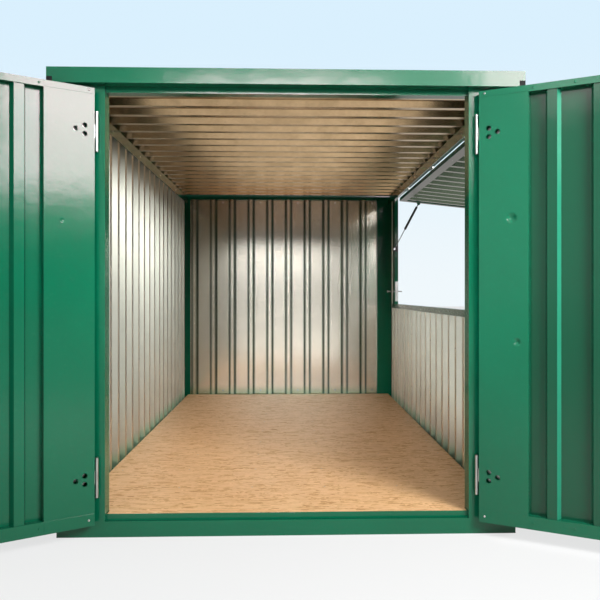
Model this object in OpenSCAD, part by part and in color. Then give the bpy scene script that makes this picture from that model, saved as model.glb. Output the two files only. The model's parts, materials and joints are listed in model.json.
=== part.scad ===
// Flat pack kiosk: a demountable ribbed steel room with double doors and a side serving hatch.
// Millimetres. The doors face -Y, the serving hatch faces +X, the ground is z = 0.

/* [Room] */
// Width over the base rails
base_w = 2110; // [1900:10:2400]
// Height from the ground to the top of the roof edge
unit_h = 2130; // [2030:10:2500]
// Number of rib pitches between the corner posts of a long side
side_pitches = 20; // [16:4:28]
// Depth of a corner post along the long side
post_depth = 75; // [60:5:120]

/* [Ribbed sheet] */
// Distance from rib to rib
rib_pitch = 190; // [170:5:210]
// Width of a rib across its crest
rib_crest = 40; // [30:1:50]
// Width of a rib across its feet
rib_foot = 64; // [56:1:80]
// Depth of the ribbed sheet from its flats to its crests
rib_depth = 33; // [25:1:38]
// Thickness of the sheet steel
sheet_t = 1.2; // [0.8:0.1:1.6]
// Rib pitches that one sheet covers
sheet_pitches = 4; // [3:1:5]

/* [Base] */
// Height of the base rails
base_h = 72; // [60:1:110]
// Thickness of the rails' folded steel
rail_t = 3; // [2:0.5:4]
// Width of the base rails' flanges
base_flange = 55; // [45:1:65]
// Height of the lip that stands up outside the foot of a wall
wall_lip = 40; // [20:1:60]
// Distance from one cross bearer to the next
bearer_pitch = 380; // [300:10:400]
// Width of a cross bearer
bearer_w = 50; // [40:1:70]
// Thickness of the floor boards
floor_t = 28; // [18:1:30]
// Length of one floor board along the room
board_l = 1220; // [800:10:1400]
// Gap between two floor boards
board_gap = 2; // [1:0.5:4]
// Gap between the floor boards and the wall crests
floor_edge_gap = 5; // [3:1:10]

/* [Front] */
// Width of a front post's face
front_post_w = 219; // [200:1:300]
// How far the sill and head stand back from the face of the posts
rebate = 22; // [10:1:30]
// Height of the door head's face
head_h = 25; // [20:1:60]
// Depth of the return lips folded on the posts
post_lip = 25; // [15:1:30]

/* [Roof] */
// How far the roof edge stands out over the long walls
roof_side_out = 30; // [20:1:60]
// How far the roof edge stands out over the front and back
roof_end_out = 50; // [48:1:80]
// Height of the roof edge
fascia_h = 70; // [60:1:100]
// Lip of the roof edge above the roof sheets
roof_lip = 10; // [5:1:20]
// Size of the square end plugs in the roof edge
plug = 27; // [22:1:28]
// Height of the lip that hangs inside the long walls' tops
side_lip_h = 64; // [40:1:80]
// Height of the lip that hangs inside the back wall's top
end_lip_h = 15; // [10:1:40]

/* [Back corner] */
// Distance of the cover strip from the outside of the right long wall
cover_in = 98; // [85:1:130]
// Width of the cover strip at the right end of the back wall
cover_w = 56; // [45:1:65]

/* [Doors] */
// Distance of a hinge axis outside the edge of the doorway
hinge_out = 32; // [28:1:40]
// Distance of a hinge axis in front of the posts
hinge_front = 20; // [20:0.5:24]
// Thickness of a door leaf
leaf_t = 40; // [36:1:40]
// Gap between the closed leaves and the posts
leaf_gap = 5; // [5:0.5:6]
// Gap between the hinge axis and the edge of the leaf
leaf_start = 14; // [13:0.5:18]
// Gap between the two closed leaves
leaf_meet = 6; // [6:1:12]
// Gap between the leaves' tops and the roof edge
leaf_top_gap = 22; // [5:1:40]
// How far a leaf reaches below the top of the base rail
leaf_drop = 5; // [2:1:12]
// Width of the flat hinge side of a leaf
hinge_side_w = 235; // [200:5:260]
// Width of the first recess beside the hinge side
first_recess = 80; // [60:5:100]
// Height of the leaf's top rail
leaf_top_h = 30; // [25:1:60]
// Height of the leaf's bottom rail
leaf_bottom_h = 57; // [40:1:80]
// Width of the leaf's closing stile
closing_w = 45; // [35:1:70]
// Angle of the left door from closed, as it stands
left_open = 147; // [90:1:150]
// Angle of the right door from closed, as it stands
right_open = 150; // [90:1:150]

/* [Door hinges] */
// Diameter of a hinge knuckle
knuckle_d = 17; // [15:0.5:19]
// Length of one knuckle
knuckle_l = 60; // [40:1:70]
// Diameter of the hinge pin
pin_d = 10; // [8:0.5:11]
// Radial clearance of the hinge pin
pin_clear = 0.05; // [0.02:0.01:0.1]
// Gap between two knuckles
knuckle_gap = 0.5; // [0.3:0.1:1]
// Height of the middle of the lower hinge
hinge_low_z = 278; // [250:1:500]
// Distance of the middle of the upper hinge below the roof edge
hinge_down = 214; // [160:1:450]
// Diameter of the access holes by the hinges
access_d = 23; // [18:1:26]

/* [Hatch] */
// Rib pitches that the hatch opening spans
hatch_pitches = 16; // [6:2:16]
// Height of the counter's top
counter_z = 1018; // [800:1:1200]
// Height and depth of the counter rail
hatch_rail_h = 40; // [34:1:60]
// Height of the hatch's head rail
hatch_head_h = 31; // [26:1:60]
// Width of a hatch jamb
jamb_w = 130; // [100:5:150]
// Width of the flap's edge frame
flap_frame_w = 60; // [40:1:80]
// Thickness of the flap
flap_t = 33; // [28:1:36]
// Gap around the closed flap
flap_gap = 7; // [6:0.5:10]
// Gap at each end of the flap, where the gas strut lies
strut_space = 34; // [32:1:40]
// Angle of the flap from closed, as it stands
flap_open = 84; // [60:1:90]
// Distance of the flap's hinge axis outside the wall
flap_axis_out = 9; // [8:0.5:12]
// Diameter of the flap's hinge barrel
flap_knuckle_d = 12; // [10:0.5:14]

/* [Gas struts] */
// Diameter of a strut's tube
tube_d = 22; // [16:1:22]
// Length of a strut's tube
tube_l = 240; // [215:1:255]
// Diameter of a strut's rod
rod_d = 8; // [6:0.5:10]
// Distance of the flap's pivot below the hinge axis when closed
flap_pivot_down = 185; // [170:1:195]
// Distance of the post's pivot below the hinge axis
jamb_pivot_down = 501; // [495:1:530]
// Distance of both pivots inside the hinge axis
pivot_in = 50; // [46:1:54]
// Diameter of the strut's pivot studs
stud_d = 8; // [6:0.5:10]

/* [Fittings] */
// Height of the door lock above the foot of the leaf
lock_up = 933; // [700:1:1100]
// Height of the lock's outer plate
lock_plate_h = 220; // [160:1:260]
// Height of the lock case
lock_case_h = 180; // [120:1:200]
// Depth of the lock case
lock_case_t = 14; // [10:1:20]
// Height of the lever above the middle of the lock
lever_up = 40; // [20:1:60]
// Diameter of the lever
lever_d = 14; // [10:1:16]
// Length of the lever
lever_l = 115; // [90:1:130]
// How far the lever stands out
lever_out = 30; // [25:1:40]
// Diameter of the leaf's shoot bolts
shoot_d = 12; // [10:1:16]
// Length of the leaf's shoot bolts
shoot_l = 300; // [200:1:400]
// Height of a shoot bolt's guide
guide_h = 24; // [16:1:40]
// Height of the hatch's slide bolts above the counter
slide_up = 120; // [90:1:160]
// Diameter of the hatch's slide bolts
slide_d = 10; // [8:1:12]
// Length of the hatch's slide bolts
slide_l = 130; // [110:1:150]
// Height of the slide bolts' plates
slide_plate_h = 190; // [140:1:220]
// Width of the slide bolts' plates
slide_plate_w = 28; // [22:1:31]

/* [Hidden] */
$fn = 32;
side_l = side_pitches * rib_pitch;
base_l = side_l + 2 * post_depth;
half_w = base_w / 2;
half_l = base_l / 2;
wall_out = half_w - rail_t;              // outer face of the side walls' flats
wall_end = half_l - rail_t;              // outer face of the back wall's flats
lean = tan(atan2(rib_depth - sheet_t, (rib_foot - rib_crest) / 2) / 2);
rise = rib_depth - sheet_t;
lap_lift = sheet_t + 0.3;
lap_margin = 3;
clear_half = wall_out - rib_depth;       // half the clear width between crests
fascia_z = unit_h - fascia_h;
post_top = fascia_z;                     // posts and door head meet the roof edge
roof_top = unit_h - roof_lip;            // top of the roof sheets' flats
roof_low = roof_top - rib_depth - lap_lift;  // lowest face of the roof sheets' laps
half_roof_w = half_w + roof_side_out;
half_roof_l = half_l + roof_end_out;
door_half = half_w - front_post_w;
doorway_w = 2 * door_half;
axis_x = door_half + hinge_out;
axis_y = -half_l - hinge_front;
leaf_in = hinge_front - leaf_gap;        // leaf's inner face behind the axis
leaf_end = axis_x - leaf_meet / 2;       // leaf's closing edge from the axis
leaf_z0 = base_h - leaf_drop;
leaf_z1 = fascia_z - leaf_top_gap;
hatch_l = hatch_pitches * rib_pitch;
hatch_z0 = counter_z - hatch_rail_h;
flap_half_l = hatch_l / 2 - strut_space;
flap_x = half_w + flap_axis_out;
wall_top = roof_low - rail_t;
hatch_head_z = wall_top - hatch_head_h;
flap_z = hatch_head_z - flap_gap;
flap_h = hatch_head_z - counter_z - 2 * flap_gap;
pivot_x = flap_x - pivot_in;
jamb_pivot_z = flap_z - jamb_pivot_down;
strut_y = hatch_l / 2 - strut_space / 2;
joint_gap = 0.3;                         // seam between two pieces that meet
frame_t = 2;                             // wall of the box-section bars
wall_lap = 15;                           // how far a wall's end laps inside a post
wall_h = wall_top - base_h;
post_gap = 4;                            // gap between the floor and the front posts
wing_pitches = (side_pitches - hatch_pitches) / 2;
back_pitches = 2 * ceil((half_w - post_depth + wall_lap) / rib_pitch);
back_first = back_pitches / 2 % sheet_pitches == 0 ? sheet_pitches
    : back_pitches / 2 % sheet_pitches;
bearers_each_way = floor((half_l - base_flange - bearer_w) / bearer_pitch);
floor_half_w = clear_half - floor_edge_gap - lap_lift;
floor_front = -half_l + rebate + rail_t + joint_gap;
floor_back = wall_end - rib_depth - lap_lift - floor_edge_gap;
board_count = ceil((floor_back - floor_front) / board_l);
leaf_w0 = -half_l - leaf_gap - leaf_t;   // outer face of a closed leaf
closing_u = leaf_end - closing_w;        // closing stile's near side from the axis
first_rib_u = hinge_side_w + first_recess + rib_crest / 2;
leaf_ribs = floor((closing_u - rib_foot / 2 - first_rib_u) / rib_pitch) + 1;
skin_back = 1;                           // leaf's ribbed sheet behind its outer face
access_near = 58;                        // access holes from the hinge axis
access_far = 98;
access_step = 38;
hinge_high_z = post_top - hinge_down;
hinge_h = 3 * knuckle_l + 2 * knuckle_gap;
hinge_tab = 4;
flap_ties = [-0.68, 0, 0.68];            // flap hinges along the hatch, of its half length
flap_knuckle_l = 40;
flap_pin_d = 6;
eye_t = 10;
eye_d = 20;
tube_start = 32;                         // tube's near end from its pivot
strut_reach = pivot_reach(flap_open);
strut_lean = atan2(pivot_out(flap_open), pivot_up(flap_open));
rod_bury = 30;                           // rod left inside the tube when extended
ledge_w = 45;                            // width of the end ledges under the roof sheets
side_ledge_w = 2 * rail_t + rib_depth + lap_lift + joint_gap;
cover_x = half_w - cover_in;             // cover strip's side towards the right back post
roof_sheet_w = base_w - 2 * rail_t - 4;
plate_t = 3;
plate_margin = 4;                        // from the edge of the closing stile to a plate
lock_z = leaf_z0 + lock_up;
plate_start = flap_knuckle_d / 2 + frame_t;  // hinge plate's near edge from the barrel
head_plate_h = wall_top - flap_z - joint_gap;  // hinge plate's reach from the barrel
slide_z = counter_z + slide_up;
bracket_rim = 4;
bracket_w = eye_d + 2 * bracket_rim;     // width of a strut's bracket plate
bracket_h = 60;

// ---- Ribbed sheet -------------------------------------------------------------------------

// One side of a whole rib at u = c, offset by s from the outer face
function rib_points(c, s) = [
    [c - rib_foot / 2 - s * lean, s], [c - rib_crest / 2 - s * lean, rise + s],
    [c + rib_crest / 2 + s * lean, rise + s], [c + rib_foot / 2 + s * lean, s]
];

// A sheet's first rib where the sheet before laps over it
function lap_under(c, s) = [
    [c - rib_crest / 2 + lap_margin, rise + s],
    [c + rib_crest / 2 + s * lean, rise + s], [c + rib_foot / 2 + s * lean, s]
];

// A sheet's last rib, which laps over the next sheet's first
function lap_over(c, s) = [
    [c - rib_foot / 2 - s * lean, s], [c - rib_crest / 2 - s * lean, rise + lap_lift + s],
    [c + rib_crest / 2 - lap_margin, rise + lap_lift + s]
];

function reversed(points) = [for (i = [len(points) - 1:-1:0]) points[i]];

// Face line of the sheet from rib a to rib b of a run of n pitches, with plain ends at e0 and e1
function sheet_line(a, b, n, e0, e1, s) = concat(
    a == 0 ? [[e0, s]] : lap_under(a * rib_pitch, s),
    [for (j = [a + 1:b - 1]) each rib_points(j * rib_pitch, s)],
    b >= n ? [[n * rib_pitch + e1, s]] : lap_over(b * rib_pitch, s)
);

// Lapped sheets over a run of n pitches: u along the run, v from the flats to the crests.
// The first sheet covers `first` pitches, and the ends reach e0 and e1 past the run.
module sheet_run(n, length, e0 = 0, e1 = 0, first = sheet_pitches) {
    linear_extrude(length)
        for (a = concat([0], [for (k = [first:sheet_pitches:n - 1]) k])) {
            b = a == 0 ? min(first, n) : min(a + sheet_pitches, n);
            polygon(concat(sheet_line(a, b, n, -e0, e1, 0),
                           reversed(sheet_line(a, b, n, -e0, e1, sheet_t))));
        }
}

// A run stood up along +Y, crests towards +X
module run_along_y(n, length, e0 = 0, e1 = 0) {
    mirror([1, 0, 0]) rotate([0, 0, 90]) sheet_run(n, length, e0, e1);
}

// ---- Base ---------------------------------------------------------------------------------

// Outline of a rail folded as a channel, its web on the v axis and its flanges towards +u
module rail_outline(height, flange, t) {
    difference() {
        square([flange, height]);
        translate([t, t]) square([flange, height - 2 * t]);
    }
}

// A base rail along +X, centred, its web at y = 0
module base_rail(length) {
    translate([-length / 2, 0, 0]) rotate([90, 0, 90]) linear_extrude(length)
        rail_outline(base_h, base_flange, rail_t);
}

// Lip on a base rail's web, from x0 to x1
module rail_lip(x0, x1) {
    translate([x0, 0, base_h - rail_t]) cube([x1 - x0, rail_t, wall_lip + rail_t]);
}

module front_base_rail() {
    color("seagreen") translate([0, -half_l, 0]) base_rail(base_w);
}

module back_base_rail() {
    color("seagreen") rotate(180) translate([0, -half_l, 0]) {
        base_rail(base_w);
        rail_lip(wall_lap + cover_w - cover_x + joint_gap, half_w - post_depth - joint_gap);
    }
}

module side_base_rail() {
    rotate(-90) translate([0, -half_w, 0]) {
        base_rail(base_l - 2 * base_flange - 2 * joint_gap);
        rail_lip(-side_l / 2 + joint_gap, side_l / 2 - joint_gap);
    }
}

module left_base_rail() {
    color("seagreen") side_base_rail();
}

module right_base_rail() {
    color("seagreen") rotate(180) side_base_rail();
}

// Box-section cross bearers, with the middle one under the centre of the floor
module floor_bearers() {
    wide = base_w - 2 * base_flange - 2 * joint_gap;
    color("silver") for (i = [-bearers_each_way:bearers_each_way])
        translate([-wide / 2, i * bearer_pitch - bearer_w / 2, 0])
            rotate([90, 0, 90]) linear_extrude(wide) difference() {
                square([bearer_w, base_h]);
                translate([rail_t, rail_t])
                    square([bearer_w - 2 * rail_t, base_h - 2 * rail_t]);
            }
}

// Floor boards laid across the room, the first cut round the front posts
module floor_boards() {
    color("burlywood") for (i = [0:board_count - 1]) {
        y0 = floor_front + i * board_l;
        y1 = min(floor_back, y0 + board_l - board_gap);
        translate([0, 0, base_h]) linear_extrude(floor_t) difference() {
            translate([-floor_half_w, y0]) square([2 * floor_half_w, y1 - y0]);
            for (side = [0, 1]) mirror([side, 0])
                translate([door_half - post_gap, -half_l])
                    square([half_w, post_depth + post_gap]);
        }
    }
}

// Folded sill that closes the floor's front edge between the posts
module door_sill() {
    color("seagreen") translate([-door_half + joint_gap, -half_l + rebate, base_h])
        cube([doorway_w - 2 * joint_gap, rail_t, floor_t]);
}

// ---- Posts --------------------------------------------------------------------------------

// A front post seen from above: a wide face, two sides, and lips that turn in behind
module front_post_solid() {
    translate([-half_w, -half_l, base_h]) linear_extrude(post_top - base_h) {
        difference() {
            square([front_post_w, post_depth]);
            translate([rail_t, rail_t]) square([front_post_w - 2 * rail_t, post_depth]);
        }
        translate([front_post_w - post_lip, post_depth - rail_t]) square([post_lip, rail_t]);
    }
}

module front_left_post() {
    color("seagreen") front_post_solid();
}

module front_right_post() {
    color("seagreen") mirror([1, 0, 0]) front_post_solid();
}

// A back post: an angle outside the ends of two walls
module back_post_solid() {
    translate([-half_w, half_l - post_depth, base_h])
        linear_extrude(fascia_z - base_h) difference() {
            square([post_depth, post_depth]);
            translate([rail_t, 0]) square([post_depth, post_depth - rail_t]);
        }
}

module back_left_post() {
    color("seagreen") back_post_solid();
}

// The right post's leg reaches past a hollow cover strip that closes the end of the back wall
module back_right_post() {
    color("seagreen") {
        mirror([1, 0, 0]) back_post_solid();
        translate([cover_x - cover_w - wall_lap, wall_end, base_h])
            cube([half_w - cover_x + cover_w, rail_t, fascia_z - base_h]);
        translate([cover_x - cover_w, wall_end - rib_depth, base_h])
            linear_extrude(fascia_z - end_lip_h - base_h) difference() {
                square([cover_w, rib_depth + rail_t]);
                translate([rail_t, rail_t]) square([cover_w - 2 * rail_t, rib_depth]);
            }
    }
}

// ---- Walls --------------------------------------------------------------------------------

module left_wall() {
    color("lightgrey") translate([-wall_out, -side_l / 2, base_h])
        run_along_y(side_pitches, wall_h, wall_lap, wall_lap);
}

module back_wall() {
    short = back_pitches * rib_pitch / 2 - half_w + post_depth - wall_lap;
    right_end = cover_x - cover_w - joint_gap;
    skipped = floor((back_pitches * rib_pitch / 2 - right_end) / rib_pitch);
    start_x = (back_pitches / 2 - skipped) * rib_pitch;
    color("lightgrey") translate([start_x, wall_end, base_h]) rotate(180)
        sheet_run(back_pitches - skipped, wall_h, right_end - start_x, -short,
                  back_first - skipped);
}

// A stretch of the right wall from rib line a, n pitches long, between two heights
module right_wall_part(a, n, z0, z1, e0, e1) {
    color("lightgrey") translate([wall_out, -side_l / 2 + a * rib_pitch, z0])
        mirror([1, 0, 0]) run_along_y(n, z1 - z0, e0, e1);
}

module right_wall_front() {
    right_wall_part(0, wing_pitches, base_h, wall_top, wall_lap, -jamb_w - joint_gap);
}

module right_wall_back() {
    right_wall_part(wing_pitches + hatch_pitches, wing_pitches, base_h, wall_top,
                    -jamb_w - joint_gap, wall_lap);
}

module right_wall_below_hatch() {
    short = rib_pitch - jamb_w;
    right_wall_part(wing_pitches - 1, hatch_pitches + 2, base_h, hatch_z0, -short, -short);
}

// ---- Hatch frame --------------------------------------------------------------------------

// A box-section bar from the corner p with the size q, hollow along its longest side
module box_bar(p, q, t) {
    inner = [for (k = [0:2]) q[k] == max(q) ? q[k] + 2 : q[k] - 2 * t];
    translate(p) difference() {
        cube(q);
        translate((q - inner) / 2) cube(inner);
    }
}

// A jamb stands on the counter rail
module hatch_jamb() {
    color("seagreen") box_bar([wall_out - rib_depth, hatch_l / 2, counter_z],
                              [rib_depth, jamb_w, wall_top - counter_z], frame_t);
}

module hatch_front_jamb() {
    mirror([0, 1, 0]) hatch_jamb();
}

module hatch_back_jamb() {
    hatch_jamb();
}

// The counter rail runs on under the jambs
module hatch_counter_rail() {
    long = hatch_l + 2 * jamb_w;
    color("seagreen") box_bar([wall_out - hatch_rail_h, -long / 2, hatch_z0],
                              [hatch_rail_h, long, hatch_rail_h], frame_t);
}

module hatch_head_rail() {
    color("seagreen") box_bar([wall_out - rib_depth, -hatch_l / 2, hatch_head_z],
                              [rib_depth, hatch_l, hatch_head_h], frame_t);
}

// ---- Roof ---------------------------------------------------------------------------------

// Box-section head over the doorway, between the posts
module door_head() {
    color("seagreen") box_bar([-door_half, -half_l + rebate, post_top - head_h],
                              [doorway_w, post_depth - rebate, head_h], frame_t);
}

// Outline of a roof edge: a channel with its web on the v axis
module fascia_outline(out) {
    difference() {
        square([out, fascia_h]);
        translate([rail_t, rail_t]) square([out, fascia_h - 2 * rail_t]);
    }
}

// A roof edge along +X, centred, its web at y = 0, with a square plug corner at each end
module end_fascia(inset) {
    difference() {
        translate([-half_roof_w, 0, fascia_z]) rotate([90, 0, 90])
            linear_extrude(2 * half_roof_w) fascia_outline(roof_end_out + inset);
        for (side = [0, 1]) mirror([side, 0, 0]) {
            translate([half_roof_w - plug, -1, fascia_z - 1])
                cube([plug + 1, roof_end_out + inset + 2, plug + 1]);
            translate([half_w - joint_gap, roof_end_out, fascia_z - 1])
                cube([roof_side_out + 1, inset + 1, fascia_h + 2]);
        }
    }
}

module front_fascia() {
    color("seagreen") translate([0, -half_roof_l, 0]) end_fascia(rebate);
}

module back_fascia() {
    color("seagreen") rotate(180) translate([0, -half_roof_l, 0]) end_fascia(0);
}

module side_fascia() {
    long = 2 * half_roof_l - 2 * roof_end_out - 2 * joint_gap;
    rotate(-90) translate([-long / 2, -half_roof_w, fascia_z]) rotate([90, 0, 90])
        linear_extrude(long) fascia_outline(roof_side_out);
}

module left_fascia() {
    color("seagreen") side_fascia();
}

module right_fascia() {
    color("seagreen") rotate(180) side_fascia();
}

// Black plugs that fill the square corners at the ends of the roof edge
module roof_end_plugs() {
    color("black") for (x = [0, 1], y = [0, 1]) mirror([x, 0, 0]) mirror([0, y, 0])
        translate([half_roof_w - plug + joint_gap, -half_roof_l, fascia_z])
            cube([plug - joint_gap, roof_end_out, plug - joint_gap]);
}

// Channels that cap the long walls and carry the roof sheets. The lip outside the right wall
// stops at the hatch.
module side_roof_ledges() {
    y0 = -half_l + post_depth + joint_gap;
    y1 = wall_end - rib_depth - lap_lift - joint_gap;
    wing = (side_l - hatch_l) / 2 - jamb_w - 2 * joint_gap;
    color("seagreen") for (side = [0, 1]) mirror([side, 0, 0]) translate([-half_w, 0, 0]) {
        translate([0, -half_l + rebate, roof_low - rail_t])
            cube([side_ledge_w, base_l - rebate - rail_t, rail_t]);
        translate([side_ledge_w - rail_t, y0, roof_low - side_lip_h])
            cube([rail_t, y1 - y0, side_lip_h]);
        for (end = [0, 1]) mirror([0, end, 0]) translate([0, -side_l / 2 + joint_gap, 0]) {
            deep = side == 1 ? wing : side_l / 2;
            translate([0, 0, fascia_z - wall_lip])
                cube([rail_t, deep, roof_low - fascia_z + wall_lip]);
        }
    }
}

// Angles over the doorway and over the back wall
module end_roof_ledges() {
    long = base_w - 2 * rail_t - 2 * joint_gap;
    deep = base_w - 2 * side_ledge_w - 2 * joint_gap;
    color("seagreen") {
        translate([-long / 2, -half_l + rebate, post_top])
            cube([long, rail_t, roof_low - rail_t - joint_gap - post_top]);
        translate([-deep / 2, -half_l + rebate, roof_low - rail_t - joint_gap - 1])
            cube([deep, ledge_w, rail_t + joint_gap + 1]);
        translate([-long / 2, half_l - rail_t, fascia_z])
            cube([long, rail_t, roof_low - fascia_z]);
        translate([-deep / 2, half_l - ledge_w, roof_low - rail_t])
            cube([deep, ledge_w, rail_t]);
        translate([-deep / 2, half_l - ledge_w, roof_low - end_lip_h])
            cube([deep, rail_t, end_lip_h]);
    }
}

// Ribbed roof sheets that span the room, ribs down, on the ledges
module roof_sheets() {
    color("lightgrey") translate([-roof_sheet_w / 2, -side_l / 2, roof_top])
        mirror([0, 0, 1]) rotate([0, 90, 0]) rotate([0, 0, 90])
            sheet_run(side_pitches, roof_sheet_w, post_depth - rebate - rail_t, post_depth);
}

// ---- Doors --------------------------------------------------------------------------------

// The left leaf stands open about its hinge axis. Inside, u runs from the axis towards the
// closing edge, and y = 0 is the outer face of the closed leaf.
module at_leaf(angle) {
    translate([-axis_x, axis_y, 0]) rotate(-angle)
        translate([0, leaf_w0 - axis_y, 0]) children();
}

// A hollow folded box with closed ends
module closed_box(p, q, t) {
    translate(p) difference() {
        cube(q);
        translate([t, t, t]) cube([q[0] - 2 * t, q[1] - 2 * t, q[2] - 2 * t]);
    }
}

// Flat hinge side of a leaf, with holes on its inner face to reach the hinge bolts
module leaf_hinge_side() {
    color("seagreen") difference() {
        closed_box([leaf_start, 0, leaf_z0],
                   [hinge_side_w - leaf_start, leaf_t, leaf_z1 - leaf_z0], frame_t);
        for (z = [hinge_low_z, hinge_high_z]) {
            for (side = [-1, 1]) translate([access_near, leaf_t / 2, z + side * access_step / 2])
                rotate([-90, 0, 0]) cylinder(d = access_d, h = leaf_t);
            translate([access_far, leaf_t / 2, z])
                rotate([-90, 0, 0]) cylinder(d = access_d, h = leaf_t);
        }
    }
}

// Top and bottom rails of a leaf
module leaf_rails() {
    wide = closing_u - hinge_side_w;
    color("seagreen") {
        box_bar([hinge_side_w, 0, leaf_z1 - leaf_top_h], [wide, leaf_t, leaf_top_h], frame_t);
        box_bar([hinge_side_w, 0, leaf_z0], [wide, leaf_t, leaf_bottom_h], frame_t);
    }
}

module leaf_closing_stile() {
    color("seagreen") closed_box([closing_u, 0, leaf_z0],
                                 [closing_w, leaf_t, leaf_z1 - leaf_z0], frame_t);
}

// Ribbed sheet of a leaf, between its rails
module leaf_panel() {
    run = leaf_ribs + 1;
    u0 = first_rib_u - rib_pitch;
    z0 = leaf_z0 + leaf_bottom_h;
    color("seagreen") translate([u0, skin_back, z0])
        sheet_run(run, leaf_z1 - leaf_top_h - z0, u0 - hinge_side_w,
                  closing_u - u0 - run * rib_pitch, run);
}

// Door side of the hinges: the middle knuckle, its tab and the pin
module leaf_knuckles() {
    pin_w = axis_y - leaf_w0;
    color("silver") for (z = [hinge_low_z, hinge_high_z]) translate([0, pin_w, z]) {
        cylinder(d = knuckle_d, h = knuckle_l, center = true);
        cylinder(d = pin_d, h = hinge_h, center = true);
        translate([0, -hinge_tab / 2, -knuckle_l / 2]) cube([leaf_start, hinge_tab, knuckle_l]);
    }
}

// Post side of the hinges: two knuckles on each, with tabs to the post
module post_hinge_knuckles() {
    color("silver") for (side = [0, 1], z = [hinge_low_z, hinge_high_z], up = [0, 1])
        mirror([side, 0, 0]) translate([-axis_x, axis_y, z]) mirror([0, 0, up])
            translate([0, 0, knuckle_l / 2 + knuckle_gap]) difference() {
                union() {
                    cylinder(d = knuckle_d, h = knuckle_l);
                    translate([-hinge_tab / 2, 0, 0]) cube([hinge_tab, hinge_front, knuckle_l]);
                }
                translate([0, 0, -1]) cylinder(r = pin_d / 2 + pin_clear, h = knuckle_l + 2);
            }
}

// Two shoot bolts on the inside of the left leaf's closing stile
module leaf_shoot_bolts() {
    guide_w = closing_w - 2 * plate_margin;
    color("silver") for (z = [leaf_z0 + leaf_bottom_h, leaf_z1 - leaf_top_h - shoot_l])
        translate([closing_u + closing_w / 2, leaf_t, z]) {
            translate([0, shoot_d / 2, 0]) cylinder(d = shoot_d, h = shoot_l);
            for (k = [guide_h, shoot_l - 2 * guide_h]) translate([-guide_w / 2, 0, k])
                cube([guide_w, shoot_d / 2, guide_h]);
        }
}

// Lever handle outside and lock case inside the right leaf's closing stile
module leaf_lock() {
    plate_w = closing_w - 2 * plate_margin;
    color("dimgray") translate([closing_u + closing_w / 2, 0, lock_z]) {
        translate([-plate_w / 2, -plate_t, -lock_plate_h / 2])
            cube([plate_w, plate_t, lock_plate_h]);
        translate([0, 0, lever_up]) rotate([90, 0, 0])
            cylinder(d = lever_d + 2, h = lever_out + lever_d / 2);
        translate([0, -lever_out, lever_up]) rotate([0, -90, 0])
            cylinder(d = lever_d, h = lever_l);
        translate([-plate_w / 2, leaf_t, -lock_case_h / 2])
            cube([plate_w, lock_case_t, lock_case_h]);
    }
}

module left_door_hinge_side() {
    at_leaf(left_open) leaf_hinge_side();
}

module left_door_rails() {
    at_leaf(left_open) leaf_rails();
}

module left_door_closing_stile() {
    at_leaf(left_open) leaf_closing_stile();
}

module left_door_panel() {
    at_leaf(left_open) leaf_panel();
}

module left_door_knuckles() {
    at_leaf(left_open) leaf_knuckles();
}

module left_door_bolts() {
    at_leaf(left_open) leaf_shoot_bolts();
}

module right_door_hinge_side() {
    mirror([1, 0, 0]) at_leaf(right_open) leaf_hinge_side();
}

module right_door_rails() {
    mirror([1, 0, 0]) at_leaf(right_open) leaf_rails();
}

module right_door_closing_stile() {
    mirror([1, 0, 0]) at_leaf(right_open) leaf_closing_stile();
}

module right_door_panel() {
    mirror([1, 0, 0]) at_leaf(right_open) leaf_panel();
}

module right_door_knuckles() {
    mirror([1, 0, 0]) at_leaf(right_open) leaf_knuckles();
}

module right_door_lock() {
    mirror([1, 0, 0]) at_leaf(right_open) leaf_lock();
}

// ---- Hatch flap ---------------------------------------------------------------------------

// The flap stands open about its hinge axis. Its children are drawn closed, in place.
module at_flap() {
    translate([flap_x, 0, flap_z]) rotate([0, -flap_open, 0])
        translate([-flap_x, 0, -flap_z]) children();
}

module hatch_flap_panel() {
    inner_half = flap_half_l - flap_frame_w;
    short = hatch_l / 2 - inner_half;
    color("lightgrey") at_flap()
        translate([wall_out, -hatch_l / 2, flap_z - flap_h + flap_frame_w])
            mirror([1, 0, 0]) run_along_y(hatch_pitches, flap_h - 2 * flap_frame_w,
                                          -short, -short);
}

// A strut's bracket: a plate towards +x from the pivot, with a stud of the length l
module strut_bracket(l) {
    linear_extrude(rail_t) hull() {
        circle(d = bracket_w);
        translate([wall_out - frame_t - pivot_x - rail_t, -bracket_h / 2])
            square([rail_t, bracket_h]);
    }
    cylinder(d = stud_d, h = l);
}

// End rails of the flap, with the struts' brackets
module hatch_flap_side_rails() {
    color("silver") at_flap() for (side = [0, 1]) mirror([0, side, 0]) {
        closed_box([wall_out - flap_t, flap_half_l - flap_frame_w, flap_z - flap_h],
                   [flap_t, flap_frame_w, flap_h], frame_t);
        translate([pivot_x, flap_half_l, flap_z - flap_pivot_down]) rotate([-90, 0, 0])
            strut_bracket(strut_y - eye_t / 2 - joint_gap - flap_half_l);
    }
}

// Rails along the flap's hinge edge and outer edge
module hatch_flap_long_rails() {
    long = 2 * (flap_half_l - flap_frame_w);
    color("silver") at_flap() for (z = [flap_z - flap_frame_w, flap_z - flap_h])
        closed_box([wall_out - flap_t, -long / 2, z], [flap_t, long, flap_frame_w], frame_t);
}

// A hinge leaf seen along its barrel: a plate on the wall side and a strap to the barrel
module flap_leaf_outline(plate_h) {
    r = flap_knuckle_d / 2;
    near = -flap_axis_out;
    far = near - rail_t;
    polygon([[far, plate_start], [near, plate_start], [0, r - rail_t], [0, r],
             [near, plate_start + rail_t], [near, plate_h], [far, plate_h]]);
}

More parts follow.
